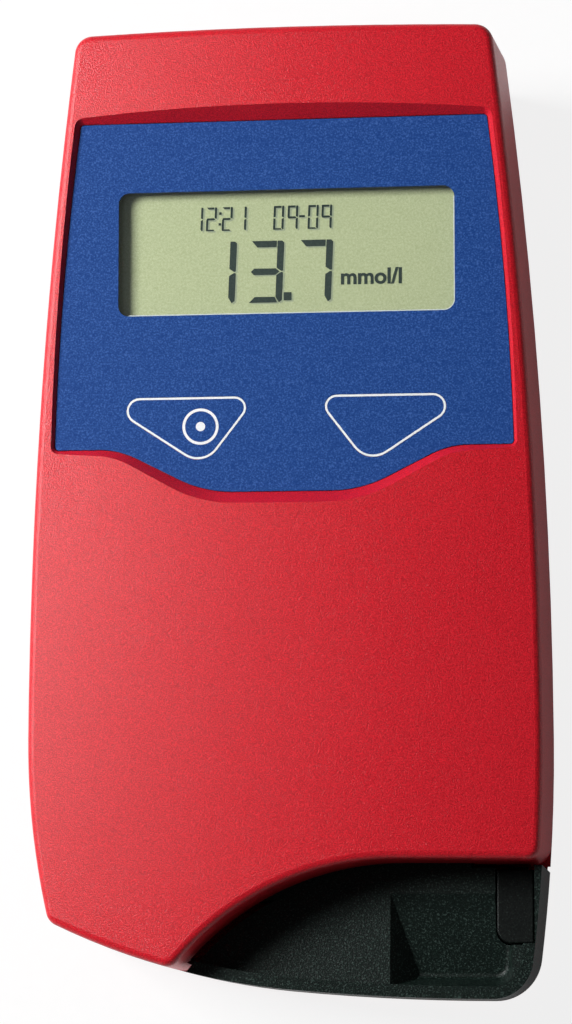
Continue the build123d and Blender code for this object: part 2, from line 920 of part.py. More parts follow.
# Catch in the arm's corner, with the spring under it
with BuildPart() as release_catch:
    with BuildSketch(Plane.XY.offset(catch_low)) as block_outline:
        with Locations((catch_left + catch_gap, catch_front_y + catch_gap)):
            Rectangle(
                catch_right - catch_left - catch_gap - catch_gap,
                arm_back_y - catch_front_y - catch_gap - catch_gap,
                align=(Align.MIN, Align.MIN),
            )
        fillet(
            block_outline.vertices().sort_by_distance((catch_left, catch_front_y))[0],
            catch_corner - catch_gap,
        )
    extrude(amount=catch_top - catch_low)
    fillet(release_catch.faces().sort_by(Axis.Z)[-1].edges(), catch_edge)
    with BuildSketch(Plane.XY.offset(catch_low)):
        with Locations((nose_left, arm_back_y - catch_gap)):
            Rectangle(nose_right - nose_left, nose_reach, align=(Align.MIN, Align.MIN))
    extrude(amount=nose_high - catch_low)
    with BuildSketch(Plane.XY.offset(catch_low)):
        with Locations(catch_spring_at):
            Circle(spring_bore)
    extrude(amount=spring_bore_top - catch_low, mode=Mode.SUBTRACT)
release_catch.part.label = "release_catch"

with BuildPart() as catch_spring:
    spring_rise = spring_bore_top - catch_pit - spring_wire - spring_wire
    spring_base = Plane(origin=(catch_spring_at[0], catch_spring_at[1], catch_pit + spring_wire))
    add(coil(spring_base, spring_rise / spring_turns, spring_turns, spring_coil, spring_wire))
catch_spring.part.label = "catch_spring"

# Pin the arm turns on
with BuildPart() as arm_pivot_pin:
    with BuildSketch(Plane.XY.offset(pin_low)):
        with Locations((pivot_x, pivot_y)):
            Circle(pin_radius)
    extrude(amount=pin_high - pin_low_cap - pin_low)
arm_pivot_pin.part.label = "arm_pivot_pin"

# Light path: a block with a throat for the tray
with BuildPart() as optics_block:
    with BuildSketch(Plane.YZ.offset(block_left)):
        with BuildLine():
            Polyline(
                (block_front_y, block_low),
                (block_back_y, block_low),
                (block_back_y, block_top),
                (block_front_y, block_top),
                (block_front_y, block_upper_low),
                (spine_front_y, block_upper_low),
                (spine_front_y, block_lower_top),
                (block_front_y, block_lower_top),
                close=True,
            )
        make_face()
    extrude(amount=block_right - block_left)
    with BuildSketch(Plane.XY):
        with Locations((pocket_x, pocket_y)):
            Circle(emitter_radius + emitter_fit)
    extrude(amount=block_lower_top, mode=Mode.SUBTRACT)
    with BuildSketch(Plane.XY):
        with Locations((pocket_x, pocket_y)):
            Circle(emitter_flange + emitter_fit)
    extrude(amount=emitter_low + flange_thick + emitter_fit, mode=Mode.SUBTRACT)
    with BuildSketch(Plane.XY.offset(block_upper_low)):
        with Locations((pocket_x, pocket_y)):
            Circle(aperture)
    extrude(amount=block_top, mode=Mode.SUBTRACT)
    with BuildSketch(Plane.XY.offset(lens_low)):
        with Locations((pocket_x, pocket_y)):
            Circle(lens_radius)
    extrude(amount=block_top, mode=Mode.SUBTRACT)
    with BuildSketch(Plane.XY.offset(diode_low)):
        with Locations((pocket_x, pocket_y)):
            Circle(diode_flange)
    extrude(amount=block_top, mode=Mode.SUBTRACT)
    with BuildSketch(Plane.XY.offset(block_top - optics_screw_length)):
        with Locations((pocket_x, (detector_front_y + detector_back_y) * half)):
            with GridLocations(optics_screw_x + optics_screw_x, optics_screw_y, 2, 2):
                Circle(thread_radius)
    extrude(amount=block_top, mode=Mode.SUBTRACT)
optics_block.part.label = "optics_block"

with BuildPart() as light_emitter:
    with BuildSketch(Plane.XY.offset(emitter_low)):
        with Locations((pocket_x, pocket_y)):
            Circle(emitter_flange)
    extrude(amount=flange_thick)
    with BuildSketch(Plane.XY.offset(emitter_low)):
        with Locations((pocket_x, pocket_y)):
            Circle(emitter_radius)
    extrude(amount=emitter_dome - emitter_low)
    with Locations((pocket_x, pocket_y, emitter_dome)):
        Sphere(emitter_radius)
light_emitter.part.label = "light_emitter"

with BuildPart() as focus_lens:
    with BuildSketch(Plane.XY.offset(lens_low)):
        with Locations((pocket_x, pocket_y)):
            Circle(lens_radius)
    extrude(amount=lens_thick)
focus_lens.part.label = "focus_lens"

with BuildPart() as photodiode:
    with BuildSketch(Plane.XY.offset(diode_low)):
        with Locations((pocket_x, pocket_y)):
            Circle(diode_flange)
    extrude(amount=block_top - diode_low)
photodiode.part.label = "photodiode"

with BuildPart() as detector_board:
    with BuildSketch(Plane.XY.offset(block_top)):
        with Locations((pocket_x, (detector_front_y + detector_back_y) * half)):
            Rectangle(
                block_right - block_left - detector_margin, detector_back_y - detector_front_y
            )
            with GridLocations(optics_screw_x + optics_screw_x, optics_screw_y, 2, 2):
                Circle(shank_radius, mode=Mode.SUBTRACT)
    extrude(amount=detector_thick)
detector_board.part.label = "detector_board"

with BuildPart() as optics_screws:
    with BuildSketch(Plane.XY.offset(block_top + detector_thick)):
        with Locations((pocket_x, (detector_front_y + detector_back_y) * half)):
            with GridLocations(optics_screw_x + optics_screw_x, optics_screw_y, 2, 2):
                Circle(head_radius)
    extrude(amount=head_thick)
    with BuildSketch(Plane.XY.offset(block_top - optics_screw_length + slot_deep)):
        with Locations((pocket_x, (detector_front_y + detector_back_y) * half)):
            with GridLocations(optics_screw_x + optics_screw_x, optics_screw_y, 2, 2):
                Circle(thread_radius)
    extrude(amount=optics_screw_length + detector_thick)
    with BuildSketch(Plane.XY.offset(block_top + detector_thick + head_thick - slot_deep)):
        with Locations((pocket_x, (detector_front_y + detector_back_y) * half)):
            with GridLocations(optics_screw_x + optics_screw_x, optics_screw_y, 2, 2):
                Rectangle(boss_radius + boss_radius, slot_width)
    extrude(amount=slot_deep, mode=Mode.SUBTRACT)
optics_screws.part.label = "optics_screws"

# Cells and what touches them
with BuildPart() as battery_cells:
    for place in range(cell_count):
        side = (place - (cell_count - 1) * half) * cell_pitch
        turn = 1 if place % 2 else -1
        middle = cell_y + cell_length * half
        with BuildSketch(Plane.XZ.offset(-middle - cell_length * half)):
            with Locations((side, cell_z)):
                Circle(cell_radius)
        extrude(amount=cell_length)
        with BuildSketch(Plane.XZ.offset(-middle - turn * cell_length * half)):
            with Locations((side, cell_z)):
                Circle(nub_radius)
        extrude(amount=-turn * nub_length)
battery_cells.part.label = "battery_cells"

with BuildPart() as battery_plates:
    for plane_y in (bay_front_y, bay_back_y - contact_thick):
        with BuildSketch(Plane.XZ.offset(-plane_y - contact_thick)):
            with Locations((0, cell_z)):
                with GridLocations(cell_pitch, 0, cell_count, 1):
                    Rectangle(contact_width, contact_height)
        extrude(amount=contact_thick)
battery_plates.part.label = "battery_plates"

with BuildPart() as battery_springs:
    for place in range(cell_count):
        side = (place - (cell_count - 1) * half) * cell_pitch
        at_front = place % 2
        start_y = bay_front_y + contact_thick if at_front else cell_y + cell_length
        end_y = cell_y if at_front else bay_back_y - contact_thick
        rise = end_y - start_y - bay_spring_wire - bay_spring_wire
        base = Plane(origin=(side, start_y + bay_spring_wire, cell_z), z_dir=(0, 1, 0))
        add(coil(base, rise / bay_spring_turns, bay_spring_turns, bay_spring_radius, bay_spring_wire))
battery_springs.part.label = "battery_springs"

with BuildPart() as battery_door:
    with BuildSketch(Plane.XY.offset(floor_low)):
        with Locations((0, (door_front_y + door_back_y) * half)):
            RectangleRounded(door_half + door_half, door_back_y - door_front_y, door_corner)
    extrude(amount=door_top - floor_low)
    with BuildSketch(Plane.XY.offset(floor_low)):
        with Locations((0, rib_y)):
            with GridLocations(0, rib_pitch, 1, rib_count):
                Rectangle(rib_length, rib_width)
    extrude(amount=rib_deep, mode=Mode.SUBTRACT)
battery_door.part.label = "battery_door"

# Feet, case screws and the power socket
with BuildPart() as rubber_feet:
    with BuildSketch(Plane.XY):
        with Locations(foot_front, mirrored(foot_front), foot_back, mirrored(foot_back)):
            Circle(foot_radius)
    extrude(amount=floor_low + foot_seat)
    chamfer(rubber_feet.faces().group_by(Axis.Z)[0].edges(), foot_bevel)
rubber_feet.part.label = "rubber_feet"

with BuildPart() as case_screws:
    for spot in case_spots:
        meet = case_back_meet if spot[1] > 0 else case_front_meet
        with BuildSketch(Plane.XY.offset(case_seat - case_head_thick)):
            with Locations(spot):
                Circle(case_head)
                Rectangle(case_boss + case_boss, slot_width, mode=Mode.SUBTRACT)
        extrude(amount=slot_deep)
        with BuildSketch(Plane.XY.offset(case_seat - case_head_thick + slot_deep)):
            with Locations(spot):
                Circle(case_head)
        extrude(amount=case_head_thick - slot_deep)
        with BuildSketch(Plane.XY.offset(case_seat)):
            with Locations(spot):
                Circle(case_thread)
        extrude(amount=meet + case_bite - case_seat - slot_deep)
case_screws.part.label = "case_screws"

with BuildPart() as power_socket:
    with BuildSketch(Plane.XZ.offset(-socket_face_y)):
        with Locations((socket_x, socket_z)):
            Rectangle(
                socket_width - socket_room - socket_room, socket_height - socket_room - socket_room
            )
    extrude(amount=socket_depth)
    with BuildSketch(Plane.XZ.offset(-socket_face_y)):
        with Locations((socket_x, socket_z)):
            Circle(socket_bore)
            Circle(socket_pin, mode=Mode.SUBTRACT)
    extrude(amount=socket_bore_deep, mode=Mode.SUBTRACT)
power_socket.part.label = "power_socket"

# Switch that sees the arm
with BuildPart() as arm_switch:
    with Locations((switch_at[0], switch_at[1], floor_high)):
        Box(switch_size[0], switch_size[1], switch_size[2], align=(Align.CENTER, Align.CENTER, Align.MIN))
arm_switch.part.label = "arm_switch"

for made in (
    top_cover, bottom_cover, keypad_overlay, display_window, left_key, right_key, key_domes, lcd_glass,
    lcd_holder, contact_strips, main_board, processor_chip, memory_chip, crystal, buzzer, capacitors,
    board_screws, cuvette_arm, release_catch, catch_spring, arm_pivot_pin, optics_block, light_emitter,
    focus_lens, photodiode, detector_board, optics_screws, battery_cells, battery_plates,
    battery_springs, battery_door, rubber_feet, case_screws, power_socket, arm_switch,
):
    export_step(made.part, "parts/" + made.part.label + ".step")
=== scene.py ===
# %% [markdown]
# # Dressing a table-top glucose photometer
# ## The imported meter comes first
# The covers, the arm, the keys and all that is inside them are solids that were built in CAD.
# They could be modelled again here, but then two shapes would have to be kept alike. So they are
# loaded as a fixed frame: every finish below goes onto these solids, and every printed mark is
# laid on top of them, and nothing has to be fitted by eye.

# %% Load the frame
import bpy
import bmesh
from math import cos, pi, radians, sin, tan
from mathutils import Matrix, Vector


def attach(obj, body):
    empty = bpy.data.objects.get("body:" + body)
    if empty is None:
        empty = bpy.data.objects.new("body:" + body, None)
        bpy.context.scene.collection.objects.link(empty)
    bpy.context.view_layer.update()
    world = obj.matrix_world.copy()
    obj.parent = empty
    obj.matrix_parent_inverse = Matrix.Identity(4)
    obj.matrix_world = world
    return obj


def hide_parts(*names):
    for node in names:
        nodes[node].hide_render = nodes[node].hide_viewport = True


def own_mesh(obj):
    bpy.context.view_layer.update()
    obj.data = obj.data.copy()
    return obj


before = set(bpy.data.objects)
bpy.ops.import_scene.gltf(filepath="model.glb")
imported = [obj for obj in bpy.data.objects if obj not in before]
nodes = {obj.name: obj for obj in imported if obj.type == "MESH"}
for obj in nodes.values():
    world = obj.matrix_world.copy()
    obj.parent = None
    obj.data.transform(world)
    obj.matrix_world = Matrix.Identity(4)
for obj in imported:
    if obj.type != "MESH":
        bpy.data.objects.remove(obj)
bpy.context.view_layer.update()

# %% [markdown]
# ## The sloping face
# The film, the keys and the display of the meter lie on a face that rises 6 degrees toward the
# display end. A mark could be placed straight in the frame's metres, with its height worked out
# by hand each time. It is easier to draw in the face's own millimetres, across and along it, so
# one helper turns such a place, with a height above the face, into a point of the frame.

# %% The face as a place to draw on
MM = 0.001
FACE_TILT = radians(6.0)
FACE_Y = -0.9
FACE_Z = 32.6


def on_face(x, y, up=0.0):
    """A point of the frame, in metres, from millimetres across, along and above the face."""
    along = FACE_Y + y * cos(FACE_TILT) - up * sin(FACE_TILT)
    height = FACE_Z + y * sin(FACE_TILT) + up * cos(FACE_TILT)
    return Vector((x, along, height)) * MM


print("face centre at", tuple(round(c, 4) for c in on_face(0, 0)))

# %% [markdown]
# ## Helpers for node trees
# A finish is a tree of nodes. Making a node, setting it and linking it takes a line for every
# socket, which hides what the tree does. These helpers take plain numbers and links alike, so
# that each step of a finish is one line that reads like a sum.

# %% Nodes, sums, ramps and mixes
def add_node(tree, kind, settings=None, feeds=None):
    """A node with its settings; feeds gives its inputs, as plain values or as other sockets."""
    node = tree.nodes.new(kind)
    for label, value in (settings or {}).items():
        setattr(node, label, value)
    for label, source in (feeds or {}).items():
        if isinstance(source, bpy.types.NodeSocket):
            tree.links.new(source, node.inputs[label])
        else:
            node.inputs[label].default_value = source
    return node


def work_out(tree, operation, *sources):
    """The result of a sum on sockets or plain numbers."""
    settings = {"operation": operation}
    return add_node(tree, "ShaderNodeMath", settings, dict(enumerate(sources))).outputs[0]


def ramp(tree, source, low, high, out_low=0.0, out_high=1.0):
    """The source squeezed from low..high onto out_low..out_high."""
    feeds = {
        "Value": source, "From Min": low, "From Max": high, "To Min": out_low, "To Max": out_high,
    }
    return add_node(tree, "ShaderNodeMapRange", feeds=feeds).outputs["Result"]


def mix_colours(tree, amount, under, over):
    """A colour between two, each a socket or a plain colour."""
    feeds = {"Factor": amount, "A": under, "B": over}
    return add_node(tree, "ShaderNodeMix", {"data_type": "RGBA"}, feeds).outputs["Result"]


def mix_shaders(tree, amount, under, over):
    """A shader between two others."""
    return add_node(
        tree, "ShaderNodeMixShader", feeds={0: amount, 1: under, 2: over}
    ).outputs[0]


print("5 helpers for node trees")

# %% [markdown]
# ## Effects that several finishes share
# Moulded plastic carries the fine spark texture of its mould, the printed film and the black arm
# get small painted glint specks, and everything that is handled turns shinier in patches. The same
# nodes could be drawn again in every material, but then a better grain would have to be put into
# each of them. Each effect is one node group, and each finish sets only its own sizes.

# %% Start a node group
def start_group(name, inputs, outputs):
    """A shader node group with float or vector inputs and float outputs."""
    group = bpy.data.node_groups.new(name, "ShaderNodeTree")
    for label, kind, value in inputs:
        socket = group.interface.new_socket(name=label, in_out="INPUT", socket_type=kind)
        if value is not None:
            socket.default_value = value
    for label in outputs:
        group.interface.new_socket(name=label, in_out="OUTPUT", socket_type="NodeSocketFloat")
    return group, group.nodes.new("NodeGroupInput"), group.nodes.new("NodeGroupOutput")


print("node groups so far:", len(bpy.data.node_groups))

# %% [markdown]
# ### Spark texture of a mould
# A mould is often eroded by sparks, which leaves small rounded pits in two sizes. A cell texture
# would give pits of one size and is slow to render. Two noises, one finer and weaker than the
# other, give both sizes. Their sum is the height of the surface, and the coarse one also says
# where the colour is lighter.

# %% Build the mould grain
FINER_BY = 2.7
FINE_SHARE = 0.35
TONE_FROM = 0.3
TONE_TO = 0.7
grain_group, grain_in, grain_out = start_group(
    "mould_grain",
    [("Place", "NodeSocketVector", None), ("Fineness", "NodeSocketFloat", 2200.0)],
    ["Height", "Tone"],
)
grain_place = grain_in.outputs["Place"]
fineness = grain_in.outputs["Fineness"]
coarse_pits = add_node(
    grain_group, "ShaderNodeTexNoise",
    feeds={"Vector": grain_place, "Scale": fineness, "Detail": 1.0, "Roughness": 0.5},
).outputs[0]
fine_pits = add_node(
    grain_group, "ShaderNodeTexNoise",
    feeds={
        "Vector": grain_place, "Scale": work_out(grain_group, "MULTIPLY", fineness, FINER_BY),
        "Detail": 0.0,
    },
).outputs[0]
pit_height = work_out(grain_group, "MULTIPLY_ADD", fine_pits, FINE_SHARE, coarse_pits)
pit_tone = ramp(grain_group, coarse_pits, TONE_FROM, TONE_TO)
grain_group.links.new(pit_height, grain_out.inputs["Height"])
grain_group.links.new(pit_tone, grain_out.inputs["Tone"])
print("built", grain_group.name)

# %% [markdown]
# ### Painted glint specks
# Where a tiny facet of the plastic faces the light, it shows as a bright point. Such points could
# be left to the bump, but most of them are smaller than a picture point and would vanish. A noise
# that is cut off at a threshold paints them into the colour as painted glints, and a lower
# threshold gives more of them.

# %% Build the painted glint specks
GLINT_EDGE = 0.12
glint_group, glint_in, glint_out = start_group(
    "painted_glint_specks",
    [
        ("Place", "NodeSocketVector", None),
        ("Fineness", "NodeSocketFloat", 3000.0),
        ("Threshold", "NodeSocketFloat", 0.62),
    ],
    ["Mask"],
)
# The noise above its threshold marks where glints are painted into the colour.
glint_noise = add_node(
    glint_group, "ShaderNodeTexNoise",
    feeds={
        "Vector": glint_in.outputs["Place"], "Scale": glint_in.outputs["Fineness"],
        "Detail": 2.0, "Roughness": 0.6,
    },
).outputs[0]
above_threshold = work_out(glint_group, "SUBTRACT", glint_noise, glint_in.outputs["Threshold"])
glint_group.links.new(ramp(glint_group, above_threshold, 0.0, GLINT_EDGE), glint_out.inputs["Mask"])
print("built", glint_group.name)

# %% [markdown]
# ### Patches that hands have polished
# Handling polishes plastic unevenly, over patches a centimetre or two wide. They could be painted
# where fingers go, but on a meter that is gripped all round they have no clear edges. A slow
# noise moves the roughness up and down by a small spread around its usual value.

# %% Build the handling wear
PATCH_SCALE = 45.0
NOISE_MIDDLE = 0.5
wear_group, wear_in, wear_out = start_group(
    "handling_wear",
    [
        ("Place", "NodeSocketVector", None),
        ("Roughness", "NodeSocketFloat", 0.5),
        ("Spread", "NodeSocketFloat", 0.05),
    ],
    ["Roughness"],
)
wear_noise = add_node(
    wear_group, "ShaderNodeTexNoise",
    feeds={
        "Vector": wear_in.outputs["Place"], "Scale": PATCH_SCALE, "Detail": 4.0, "Roughness": 0.6,
    },
).outputs[0]
wear_shift = work_out(wear_group, "SUBTRACT", wear_noise, NOISE_MIDDLE)
worn_roughness = work_out(
    wear_group, "MULTIPLY_ADD", wear_shift, wear_in.outputs["Spread"], wear_in.outputs["Roughness"]
)
wear_group.links.new(worn_roughness, wear_out.inputs["Roughness"])
print("built", wear_group.name)

# %% [markdown]
# ## One way to start every finish
# Nearly every part of the meter is moulded, cast, drawn or printed, so it has two close shades, a
# fine relief and a slightly uneven gloss. Each material could be built from nothing. One helper
# builds what they share instead: the colour moves between two shades, the bump comes from the
# grain group and the roughness from the wear group. What is the same all over the surface, such
# as the specular level, is set on the shader itself, where an export can read it.

# %% Start a finish
def start_finish(name, dark, light, fineness, bump, depth, rough, spread, specular):
    """A finish with two shades, a moulded bump and worn roughness; returns its useful nodes."""
    finish = bpy.data.materials.new(name)
    finish.use_nodes = True
    tree = finish.node_tree
    shader = tree.nodes["Principled BSDF"]
    place = add_node(tree, "ShaderNodeTexCoord").outputs["Object"]
    grain = add_node(
        tree, "ShaderNodeGroup", {"node_tree": grain_group}, {"Place": place, "Fineness": fineness}
    )
    wear = add_node(
        tree, "ShaderNodeGroup", {"node_tree": wear_group},
        {"Place": place, "Roughness": rough, "Spread": spread},
    )
    relief = add_node(
        tree, "ShaderNodeBump",
        feeds={"Strength": bump, "Distance": depth * MM, "Height": grain.outputs["Height"]},
    )
    shade = mix_colours(tree, grain.outputs["Tone"], (*dark, 1.0), (*light, 1.0))
    tree.links.new(shade, shader.inputs["Base Color"])
    tree.links.new(relief.outputs["Normal"], shader.inputs["Normal"])
    tree.links.new(wear.outputs["Roughness"], shader.inputs["Roughness"])
    shader.inputs["Specular IOR Level"].default_value = specular
    return {"finish": finish, "tree": tree, "shader": shader, "place": place, "shade": shade}


# %% Lay painted glint specks and dress the solids
def lay_painted_glints(made, fineness, threshold, colour, share):
    """Paints glint specks, painted highlights, over the colour of a finish."""
    tree = made["tree"]
    specks = add_node(
        tree, "ShaderNodeGroup", {"node_tree": glint_group},
        {"Place": made["place"], "Fineness": fineness, "Threshold": threshold},
    )
    amount = work_out(tree, "MULTIPLY", specks.outputs["Mask"], share)
    over = mix_colours(tree, amount, made["shade"], (*colour, 1.0))
    tree.links.new(over, made["shader"].inputs["Base Color"])


def dress(finish, *names):
    """Gives the finish to these nodes of the frame."""
    for name in names:
        mesh = nodes[name].data
        mesh.materials.clear()
        mesh.materials.append(finish)
    print(finish.name, "on", ", ".join(names))


# %% [markdown]
# ## The red housing
# The covers and the battery door are one red plastic, coloured right through, whose fine spark
# texture breaks the light into small points. A red image or a plain red would look like paint.
# Two reds under a fine bump give the sparkle, and because they lie so close together on the
# surface, it doesn't turn blotchy.

# %% Red housing
red = start_finish(
    "housing_red", dark=(0.42, 0.003, 0.010), light=(0.77, 0.013, 0.028),
    fineness=5000.0, bump=1.0, depth=0.06, rough=0.36, spread=0.04, specular=0.42,
)
dress(red["finish"], "top_cover", "bottom_cover", "battery_door")

# %% [markdown]
# ## The blue printed film
# The film is a thin clear sheet that is printed on its back, so its face has its own fine matt
# texture over the colour. A clear coat over a blue would look wet here, because the real face is
# matt. A weak bump, a low specular level and a few paler specks stand for it; the specks are
# painted glints of that texture. Both key patches are cut from the same sheet, so they get the
# same finish.

# %% Blue film
blue = start_finish(
    "film_blue", dark=(0.006, 0.042, 0.200), light=(0.020, 0.074, 0.275),
    fineness=3600.0, bump=0.16, depth=0.05, rough=0.52, spread=0.05, specular=0.12,
)
# Paler specks: painted glints of the film's matt texture.
lay_painted_glints(blue, fineness=3600.0, threshold=0.54, colour=(0.055, 0.140, 0.42), share=0.55)
dress(blue["finish"], "keypad_overlay", "left_key", "right_key")

# %% [markdown]
# ## The window and the display glass
# The window is a clear pane level with the film. Full transmission would bend and dim the light
# twice on its way to the digits, for a pane that hardly shows. A low alpha keeps a trace of haze
# and the gloss. The display glass below is the pale grey-green of a reflective liquid crystal
# display, with a fine even grain.

# %% Clear pane
PANE_ALPHA = 0.035
pane = start_finish(
    "clear_pane", dark=(0.26, 0.30, 0.29), light=(0.32, 0.36, 0.35),
    fineness=60.0, bump=0.02, depth=0.01, rough=0.08, spread=0.03, specular=0.5,
)
pane["shader"].inputs["Alpha"].default_value = PANE_ALPHA
dress(pane["finish"], "display_window")

# %% Display glass
glass = start_finish(
    "display_glass", dark=(0.43, 0.49, 0.265), light=(0.53, 0.59, 0.345),
    fineness=3300.0, bump=0.05, depth=0.02, rough=0.38, spread=0.04, specular=0.3,
)
dress(glass["finish"], "lcd_glass")

# %% [markdown]
# ## The black arm
# The arm is black plastic with a coarser spark texture than the housing, and it lies half in the
# shadow of the arch. A darker grey would lift all of it. Two near blacks with painted glint specks
# keep it black, and the specks paint the glints of the texture where the light reaches it.

# %% Black arm
black = start_finish(
    "arm_black", dark=(0.002, 0.005, 0.004), light=(0.006, 0.014, 0.011),
    fineness=3600.0, bump=1.0, depth=0.06, rough=0.42, spread=0.06, specular=0.22,
)
# Light specks: painted glints of the arm's spark texture.
lay_painted_glints(black, fineness=3600.0, threshold=0.56, colour=(0.055, 0.085, 0.074), share=0.7)
dress(black["finish"], "cuvette_arm")

# %% [markdown]
# ## The catch
# The catch is a separate moulding of the same black, and its face is smoother than the arm. With
# the arm's own finish it would melt into the arm, so it has fewer painted glint specks and a weaker
# bump.

# %% Smoother black for the catch
catch_black = start_finish(
    "catch_black", dark=(0.002, 0.003, 0.003), light=(0.006, 0.008, 0.007),
    fineness=3600.0, bump=0.4, depth=0.05, rough=0.46, spread=0.05, specular=0.15,
)
# Fewer specks: painted glints of the smoother catch face.
lay_painted_glints(catch_black, fineness=3600.0, threshold=0.62, colour=(0.030, 0.046, 0.040), share=0.5)
dress(catch_black["finish"], "release_catch")

# %% [markdown]
# ## Metal parts
# Springs, screws and the pin are drawn or turned steel, with faint marks of the tool. The battery
# contacts are plated, which is smoother and a little warmer. Both could share one metal, but the
# two tones tell the parts apart when the battery door is open.

# %% Steel
steel = start_finish(
    "drawn_steel", dark=(0.50, 0.51, 0.53), light=(0.66, 0.67, 0.69),
    fineness=1500.0, bump=0.1, depth=0.02, rough=0.30, spread=0.12, specular=0.5,
)
steel["shader"].inputs["Metallic"].default_value = 1.0
dress(
    steel["finish"], "arm_pivot_pin", "board_screws", "optics_screws", "case_screws",
    "key_domes", "crystal", "capacitors", "photodiode",
)

# %% Plated contacts
plated = start_finish(
    "plated_contact", dark=(0.62, 0.59, 0.53), light=(0.76, 0.73, 0.67),
    fineness=900.0, bump=0.08, depth=0.02, rough=0.22, spread=0.10, specular=0.5,
)
plated["shader"].inputs["Metallic"].default_value = 1.0
dress(plated["finish"], "battery_plates", "battery_springs")

# %% [markdown]
# ## The spring under the catch
# Pressing the catch shortens its spring, which a rigid solid can't show. A shape key or a second
# mesh for the pressed state would need switching. The spring is wound again here as a mesh along
# a helix, and it rides on the arm in place of the frame's spring.

# %% Sizes of the spring
SPRING_AT = (36.4, -64.5)
SPRING_LOW = 6.4
SPRING_HIGH = 13.5
SPRING_RADIUS = 1.45
SPRING_WIRE = 0.25
SPRING_TURNS = 4
STEPS_PER_TURN = 20
WIRE_SIDES = 6
spring_length = SPRING_HIGH - SPRING_LOW
print("spring", spring_length, "mm long,", SPRING_TURNS, "turns")


# %% Wind the spring
def spring_rings():
    """Rings of points round the wire, one after the other along the helix, in millimetres."""
    count = SPRING_TURNS * STEPS_PER_TURN
    rise = spring_length - 2 * SPRING_WIRE
    rings = []
    for step in range(count + 1):
        turn = 2 * pi * step / STEPS_PER_TURN
        height = SPRING_LOW + SPRING_WIRE + rise * step / count
        ring = []
        for side in range(WIRE_SIDES):
            lean = 2 * pi * side / WIRE_SIDES
            reach = SPRING_RADIUS + SPRING_WIRE * cos(lean)
            ring.append((
                SPRING_AT[0] + reach * cos(turn), SPRING_AT[1] + reach * sin(turn),
                height + SPRING_WIRE * sin(lean),
            ))
        rings.append(ring)
    return rings


def wind_spring():
    """A coil of round wire between its two seats."""
    mesh = bpy.data.meshes.new("catch_spring_coil")
    work = bmesh.new()
    rings = [[work.verts.new(Vector(p) * MM) for p in ring] for ring in spring_rings()]
    for lower, upper in zip(rings, rings[1:]):
        for side in range(WIRE_SIDES):
            after = (side + 1) % WIRE_SIDES
            work.faces.new((lower[side], upper[side], upper[after], lower[after]))
    work.faces.new(rings[0])
    work.faces.new(rings[-1])
    bmesh.ops.recalc_face_normals(work, faces=work.faces)
    for face in work.faces:
        face.smooth = True
    work.to_mesh(mesh)
    work.free()
    mesh.materials.append(steel["finish"])
    piece = bpy.data.objects.new("catch_spring_coil", mesh)
    bpy.context.scene.collection.objects.link(piece)
    return piece


spring = wind_spring()
print("wound", len(spring.data.polygons), "faces")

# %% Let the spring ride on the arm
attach(spring, "arm")
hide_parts("catch_spring")
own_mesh(spring)

# %% [markdown]
# ## Boards, chips and optics
# These show only through the throat of the arm or the battery bay. They could stay grey, but an
# open meter would then look unfinished. A board is green lacquer over fibre, with a thin coat of
# gloss, a chip is matt resin, and the optics block is a dead black that swallows stray light.

# %% Circuit boards
board = start_finish(
    "board_green", dark=(0.010, 0.085, 0.035), light=(0.018, 0.125, 0.055),
    fineness=1200.0, bump=0.12, depth=0.03, rough=0.28, spread=0.06, specular=0.5,
)
board["shader"].inputs["Coat Weight"].default_value = 0.4
dress(board["finish"], "main_board", "detector_board")

# %% Chips, display holder and contact strips
resin = start_finish(
    "chip_resin", dark=(0.012, 0.012, 0.013), light=(0.024, 0.024, 0.026),
    fineness=3200.0, bump=0.3, depth=0.04, rough=0.55, spread=0.05, specular=0.4,
)
dress(resin["finish"], "processor_chip", "memory_chip", "buzzer", "arm_switch")
pale = start_finish(
    "holder_pale", dark=(0.56, 0.56, 0.53), light=(0.66, 0.66, 0.63),
    fineness=2400.0, bump=0.2, depth=0.05, rough=0.45, spread=0.06, specular=0.45,
)
dress(pale["finish"], "lcd_holder")
strip = start_finish(
    "strip_grey", dark=(0.09, 0.09, 0.10), light=(0.15, 0.15, 0.16),
    fineness=1800.0, bump=0.3, depth=0.05, rough=0.7, spread=0.05, specular=0.3,
)
dress(strip["finish"], "contact_strips")

# %% Optics block, lens and emitter
dead_black = start_finish(
    "optics_black", dark=(0.006, 0.006, 0.006), light=(0.013, 0.013, 0.013),
    fineness=2400.0, bump=0.4, depth=0.08, rough=0.7, spread=0.04, specular=0.25,
)
dress(dead_black["finish"], "optics_block")
lens = start_finish(
    "lens_clear", dark=(0.90, 0.94, 0.95), light=(0.94, 0.97, 0.98),
    fineness=60.0, bump=0.01, depth=0.01, rough=0.04, spread=0.02, specular=0.5,
)
lens["shader"].inputs["Transmission Weight"].default_value = 1.0
dress(lens["finish"], "focus_lens")
amber = start_finish(
    "emitter_amber", dark=(0.80, 0.40, 0.10), light=(0.88, 0.52, 0.18),
    fineness=300.0, bump=0.05, depth=0.02, rough=0.12, spread=0.04, specular=0.5,
)
amber["shader"].inputs["Transmission Weight"].default_value = 0.6
dress(amber["finish"], "light_emitter")

# %% [markdown]
# ## Cells, feet and the socket
# Each cell wears a printed sleeve in two tones. The band could be a second material on its own
# faces, but the solid has no edge there. The place along the cell tells the two tones apart
# instead. The feet are matt rubber, and the socket is plain black plastic.

